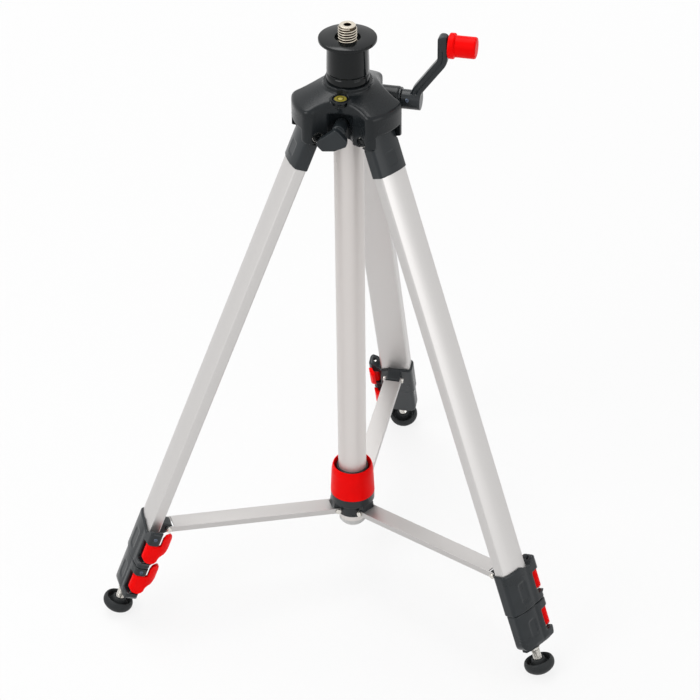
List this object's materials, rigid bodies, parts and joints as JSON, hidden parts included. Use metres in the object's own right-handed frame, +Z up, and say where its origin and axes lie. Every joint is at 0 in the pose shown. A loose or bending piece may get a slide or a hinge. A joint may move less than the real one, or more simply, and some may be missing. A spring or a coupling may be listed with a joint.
{
  "type": "elevating instrument tripod",
  "caption": "Compact aluminium tripod with telescoping clamped legs, a sliding leg spreader and a rack-and-pinion centre column turned by a crank, topped by a threaded instrument stud.",
  "frame": {"origin": "on the floor under the column, midway between the feet", "axes": "+Z up along the column towards the stud, +Y towards the rear leg, +X towards the crank"},
  "size_m": [0.421, 0.3735, 0.5683],
  "materials": {
    "aluminium_satin": "satin anodised",
    "black_moulding": "satin moulded",
    "black_gloss": "gloss black",
    "red_moulding": "gloss moulded",
    "steel_bright": "bright plated",
    "rubber_black": "matte rubber",
    "level_yellow": "clear gloss",
    "grey_moulding": "matte",
    "bronze_bush": "machined"
  },
  "bodies": {
    "head": {"shoulder": "black_moulding", "leg_hinge_pins": "steel_bright", "guide_tube": "aluminium_satin", "guide_tube_cap": "grey_moulding", "column_bush": "black_moulding", "crank_bush": "bronze_bush", "bubble_level": "level_yellow"},
    "column": {"column_tube": "aluminium_satin", "column_rack": "steel_bright", "platform": "black_gloss", "stud": "steel_bright"},
    "crank": {"crank_shaft": "steel_bright", "crank_arm": "black_moulding", "grip_screw": "steel_bright"},
    "grip": {"crank_grip": "red_moulding"},
    "column_lock": {"lock_knob": "black_moulding"},
    "hub": {"spreader_hub": "black_moulding", "hub_pins": "steel_bright"},
    "collar": {"lock_collar": "red_moulding"},
    "rear_arm": {"rear_spreader_arm": "aluminium_satin"},
    "rear_leg": {"rear_leg_bracket": "black_moulding", "rear_upper_tube": "aluminium_satin", "rear_upper_clamp": "black_moulding", "rear_leg_pins": "steel_bright"},
    "rear_upper_lever_body": {"rear_upper_lever": "red_moulding"},
    "rear_middle": {"rear_middle_tube": "aluminium_satin", "rear_lower_clamp": "black_moulding", "rear_lower_lever_pin": "steel_bright"},
    "rear_lower_lever_body": {"rear_lower_lever": "red_moulding"},
    "rear_lower": {"rear_lower_tube": "aluminium_satin", "rear_foot_stem": "steel_bright"},
    "rear_foot": {"rear_foot_cup": "rubber_black"},
    "left_arm": {"left_spreader_arm": "aluminium_satin"},
    "left_leg": {"left_leg_bracket": "black_moulding", "left_upper_tube": "aluminium_satin", "left_upper_clamp": "black_moulding", "left_leg_pins": "steel_bright"},
    "left_upper_lever_body": {"left_upper_lever": "red_moulding"},
    "left_middle": {"left_middle_tube": "aluminium_satin", "left_lower_clamp": "black_moulding", "left_lower_lever_pin": "steel_bright"},
    "left_lower_lever_body": {"left_lower_lever": "red_moulding"},
    "left_lower": {"left_lower_tube": "aluminium_satin", "left_foot_stem": "steel_bright"},
    "left_foot": {"left_foot_cup": "rubber_black"},
    "right_arm": {"right_spreader_arm": "aluminium_satin"},
    "right_leg": {"right_leg_bracket": "black_moulding", "right_upper_tube": "aluminium_satin", "right_upper_clamp": "black_moulding", "right_leg_pins": "steel_bright"},
    "right_upper_lever_body": {"right_upper_lever": "red_moulding"},
    "right_middle": {"right_middle_tube": "aluminium_satin", "right_lower_clamp": "black_moulding", "right_lower_lever_pin": "steel_bright"},
    "right_lower_lever_body": {"right_lower_lever": "red_moulding"},
    "right_lower": {"right_lower_tube": "aluminium_satin", "right_foot_stem": "steel_bright"},
    "right_foot": {"right_foot_cup": "rubber_black"}
  },
  "joints": [
    {"name": "column_slide", "type": "slide", "parent": "head", "child": "column", "axis": [0, 0, 1], "range_m": [0, 0.25]},
    {"name": "crank_spin", "type": "hinge", "parent": "head", "child": "crank", "pos_m": [0.05, 0.016, 0.49564], "axis": [1, 0, 0], "range_deg": [-2047, 0]},
    {"name": "grip_spin", "type": "hinge", "parent": "crank", "child": "grip", "pos_m": [0.093, 0.016, 0.54954], "axis": [1, 0, 0], "continuous": true},
    {"name": "lock_turn", "type": "hinge", "parent": "head", "child": "column_lock", "pos_m": [0, -0.035, 0.48794], "axis": [0, -1, 0], "range_deg": [0, 60]},
    {"name": "fold_slide", "type": "slide", "parent": "head", "child": "hub", "axis": [0, 0, 1], "range_m": [0, 0.15158]},
    {"name": "collar_twist", "type": "hinge", "parent": "hub", "child": "collar", "pos_m": [0, 0, 0.102], "axis": [0, 0, 1], "range_deg": [0, 90]},
    {"name": "rear_arm_hinge", "type": "hinge", "parent": "hub", "child": "rear_arm", "pos_m": [0, 0.0165, 0.0711], "axis": [-1, 0, 0], "range_deg": [0, 89.5]},
    {"name": "rear_leg_hinge", "type": "hinge", "parent": "rear_arm", "child": "rear_leg", "pos_m": [0, 0.17707, 0.08817], "axis": [1, 0, 0], "range_deg": [0, 69.5]},
    {"name": "rear_upper_lever_flip", "type": "hinge", "parent": "rear_leg", "child": "rear_upper_lever_body", "pos_m": [-0.022, 0.20007, 0.07829], "axis": [0, 0.3811, -0.9245], "range_deg": [0, 100]},
    {"name": "rear_middle_slide", "type": "slide", "parent": "rear_leg", "child": "rear_middle", "axis": [0, 0.3811, -0.9245], "range_m": [0, 0.33]},
    {"name": "rear_lower_lever_flip", "type": "hinge", "parent": "rear_middle", "child": "rear_lower_lever_body", "pos_m": [-0.0196, 0.21387, 0.04482], "axis": [0, 0.3811, -0.9245], "range_deg": [0, 100]},
    {"name": "rear_lower_slide", "type": "slide", "parent": "rear_middle", "child": "rear_lower", "axis": [0, 0.3811, -0.9245], "range_m": [0, 0.34]},
    {"name": "rear_foot_turn", "type": "hinge", "parent": "rear_lower", "child": "rear_foot", "pos_m": [0, 0.22741, 0.01039], "axis": [0, 0.3811, -0.9245], "range_deg": [0, 1080]},
    {"name": "left_arm_hinge", "type": "hinge", "parent": "hub", "child": "left_arm", "pos_m": [-0.01429, -0.00825, 0.0711], "axis": [0.5, -0.866, 0], "range_deg": [0, 89.5]},
    {"name": "left_leg_hinge", "type": "hinge", "parent": "left_arm", "child": "left_leg", "pos_m": [-0.15335, -0.08853, 0.08817], "axis": [-0.5, 0.866, 0], "range_deg": [0, 69.5]},
    {"name": "left_upper_lever_flip", "type": "hinge", "parent": "left_leg", "child": "left_upper_lever_body", "pos_m": [-0.16227, -0.11909, 0.07829], "axis": [-0.33, -0.1905, -0.9245], "range_deg": [0, 100]},
    {"name": "left_middle_slide", "type": "slide", "parent": "left_leg", "child": "left_middle", "axis": [-0.33, -0.1905, -0.9245], "range_m": [0, 0.33]},
    {"name": "left_lower_lever_flip", "type": "hinge", "parent": "left_middle", "child": "left_lower_lever_body", "pos_m": [-0.17541, -0.12391, 0.04482], "axis": [-0.33, -0.1905, -0.9245], "range_deg": [0, 100]},
    {"name": "left_lower_slide", "type": "slide", "parent": "left_middle", "child": "left_lower", "axis": [-0.33, -0.1905, -0.9245], "range_m": [0, 0.34]},
    {"name": "left_foot_turn", "type": "hinge", "parent": "left_lower", "child": "left_foot", "pos_m": [-0.19694, -0.11371, 0.01039], "axis": [-0.33, -0.1905, -0.9245], "range_deg": [0, 1080]},
    {"name": "right_arm_hinge", "type": "hinge", "parent": "hub", "child": "right_arm", "pos_m": [0.01429, -0.00825, 0.0711], "axis": [0.5, 0.866, 0], "range_deg": [0, 89.5]},
    {"name": "right_leg_hinge", "type": "hinge", "parent": "right_arm", "child": "right_leg", "pos_m": [0.15335, -0.08853, 0.08817], "axis": [-0.5, -0.866, 0], "range_deg": [0, 69.5]},
    {"name": "right_upper_lever_flip", "type": "hinge", "parent": "right_leg", "child": "right_upper_lever_body", "pos_m": [0.18427, -0.08098, 0.07829], "axis": [0.33, -0.1905, -0.9245], "range_deg": [0, 100]},
    {"name": "right_middle_slide", "type": "slide", "parent": "right_leg", "child": "right_middle", "axis": [0.33, -0.1905, -0.9245], "range_m": [0, 0.33]},
    {"name": "right_lower_lever_flip", "type": "hinge", "parent": "right_middle", "child": "right_lower_lever_body", "pos_m": [0.19501, -0.08996, 0.04482], "axis": [0.33, -0.1905, -0.9245], "range_deg": [0, 100]},
    {"name": "right_lower_slide", "type": "slide", "parent": "right_middle", "child": "right_lower", "axis": [0.33, -0.1905, -0.9245], "range_m": [0, 0.34]},
    {"name": "right_foot_turn", "type": "hinge", "parent": "right_lower", "child": "right_foot", "pos_m": [0.19694, -0.11371, 0.01039], "axis": [0.33, -0.1905, -0.9245], "range_deg": [0, 1080]}
  ],
  "couplings": [
    {"joint": "crank_spin", "follows": "column_slide", "rad_per_m": -142.86},
    {"joint": "rear_arm_hinge", "follows": "fold_slide", "rad_per_m": 10.303},
    {"joint": "rear_leg_hinge", "follows": "fold_slide", "rad_per_m": 8.0004},
    {"joint": "left_arm_hinge", "follows": "fold_slide", "rad_per_m": 10.303},
    {"joint": "left_leg_hinge", "follows": "fold_slide", "rad_per_m": 8.0004},
    {"joint": "right_arm_hinge", "follows": "fold_slide", "rad_per_m": 10.303},
    {"joint": "right_leg_hinge", "follows": "fold_slide", "rad_per_m": 8.0004}
  ]
}
